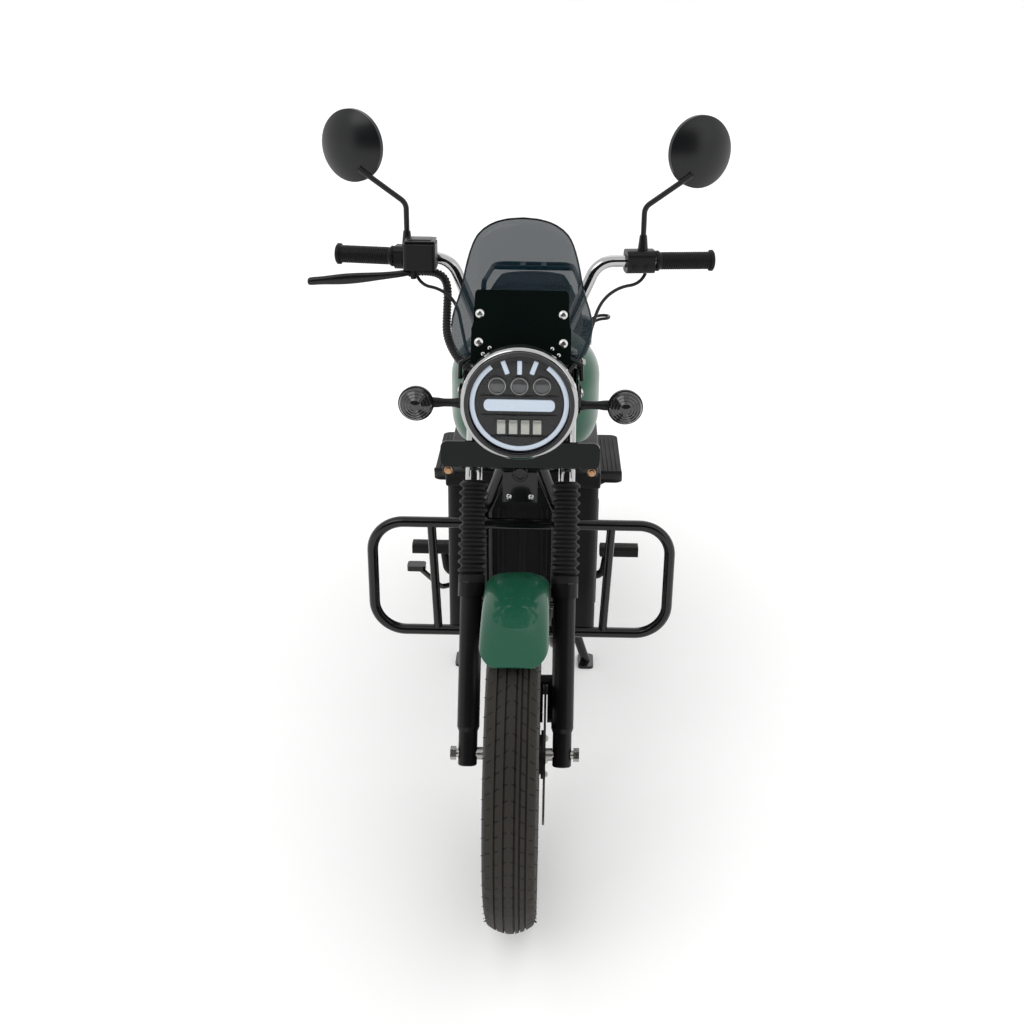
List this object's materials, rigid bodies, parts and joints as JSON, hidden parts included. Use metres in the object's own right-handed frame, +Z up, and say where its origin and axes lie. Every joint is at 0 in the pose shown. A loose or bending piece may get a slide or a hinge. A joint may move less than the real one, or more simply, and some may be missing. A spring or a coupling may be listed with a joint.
{
  "type": "electric motorcycle",
  "caption": "Roadster-style electric motorcycle with hub motor, round headlight, fly screen, crash guard and rear rack, on its centre stand.",
  "frame": {"origin": "on the floor, below the middle of the machine's length and on its mid-plane", "axes": "+Y to the rear along the machine's length, +X to the rider's left, +Z up"},
  "size_m": [0.7555, 1.8898, 1.3475],
  "materials": {
    "frame_paint": "gloss black enamel",
    "fork_paint": "satin black paint",
    "battery_case": "satin black powder coat on a sheet box",
    "body_green": "glossy dark green paint under clear coat",
    "number_plate_black": "blank gloss black",
    "chrome_plate": "polished chrome",
    "steel": "turned and ground steel",
    "rubber_black": "matt black rubber",
    "tyre_black": "road tyre rubber",
    "wheel_cast": "cast aluminium painted satin black",
    "plastic_black": "moulded black plastic",
    "lever_black": "black coated aluminium",
    "lamp_lens": "clear cover over a black lamp unit",
    "smoke_lens": "dark smoked lenses",
    "screen_smoke": "smoked clear plastic",
    "seat_cover": "black seat vinyl",
    "shock_steel": "coil springs on black dampers"
  },
  "bodies": {
    "chassis": {"main_frame": "frame_paint", "battery_box": "battery_case", "tank": "body_green", "tank_cap": "chrome_plate", "seat": "seat_cover", "side_panels": "body_green", "rear_fender": "body_green", "rear_lamps": "smoke_lens", "rear_plate": "number_plate_black", "swingarm": "frame_paint", "rear_axle": "steel", "rear_shocks": "shock_steel", "crash_guard": "frame_paint", "rider_pegs": "rubber_black", "brake_pedal": "frame_paint", "pillion_boards": "rubber_black", "rear_rack": "frame_paint"},
    "steering": {"lower_yoke": "frame_paint", "upper_yoke": "fork_paint", "fork_tubes": "chrome_plate", "fork_gaiters": "rubber_black", "fork_caps": "fork_paint", "fork_sliders": "fork_paint", "front_axle": "steel", "axle_spacers": "steel", "front_fender": "body_green", "brake_caliper": "fork_paint", "headlight_bowl": "plastic_black", "headlight_rim": "chrome_plate", "headlight_unit": "lamp_lens", "headlight_brackets": "frame_paint", "front_indicators": "smoke_lens", "number_plate": "number_plate_black", "handlebar": "chrome_plate", "grips": "rubber_black", "switch_clusters": "plastic_black", "master_cylinder": "plastic_black", "brake_lever": "lever_black", "mirrors": "plastic_black", "fly_screen": "screen_smoke", "screen_bracket": "frame_paint", "instrument": "plastic_black"},
    "front_wheel": {"front_tyre": "tyre_black", "front_rim": "wheel_cast", "brake_disc": "steel"},
    "rear_wheel": {"rear_tyre": "tyre_black", "rear_rim": "wheel_cast", "hub_motor": "wheel_cast"},
    "centre_stand": {"centre_stand": "frame_paint"},
    "side_stand": {"side_stand": "frame_paint"}
  },
  "joints": [
    {"name": "steering", "type": "hinge", "parent": "chassis", "child": "steering", "pos_m": [0, -0.32159, 0.81867], "axis": [0, 0.454, 0.891], "range_deg": [-38, 38]},
    {"name": "front_wheel_spin", "type": "hinge", "parent": "steering", "child": "front_wheel", "pos_m": [0, -0.648, 0.297], "axis": [1, 0, 0], "continuous": true},
    {"name": "rear_wheel_spin", "type": "hinge", "parent": "chassis", "child": "rear_wheel", "pos_m": [0, 0.642, 0.328], "axis": [1, 0, 0], "continuous": true},
    {"name": "centre_stand_fold", "type": "hinge", "parent": "chassis", "child": "centre_stand", "pos_m": [0, 0.17, 0.232], "axis": [1, 0, 0], "range_deg": [0, 75]},
    {"name": "side_stand_fold", "type": "hinge", "parent": "chassis", "child": "side_stand", "pos_m": [0.108, 0.042, 0.236], "axis": [-0.9006, 0, -0.4348], "range_deg": [0, 104]}
  ]
}
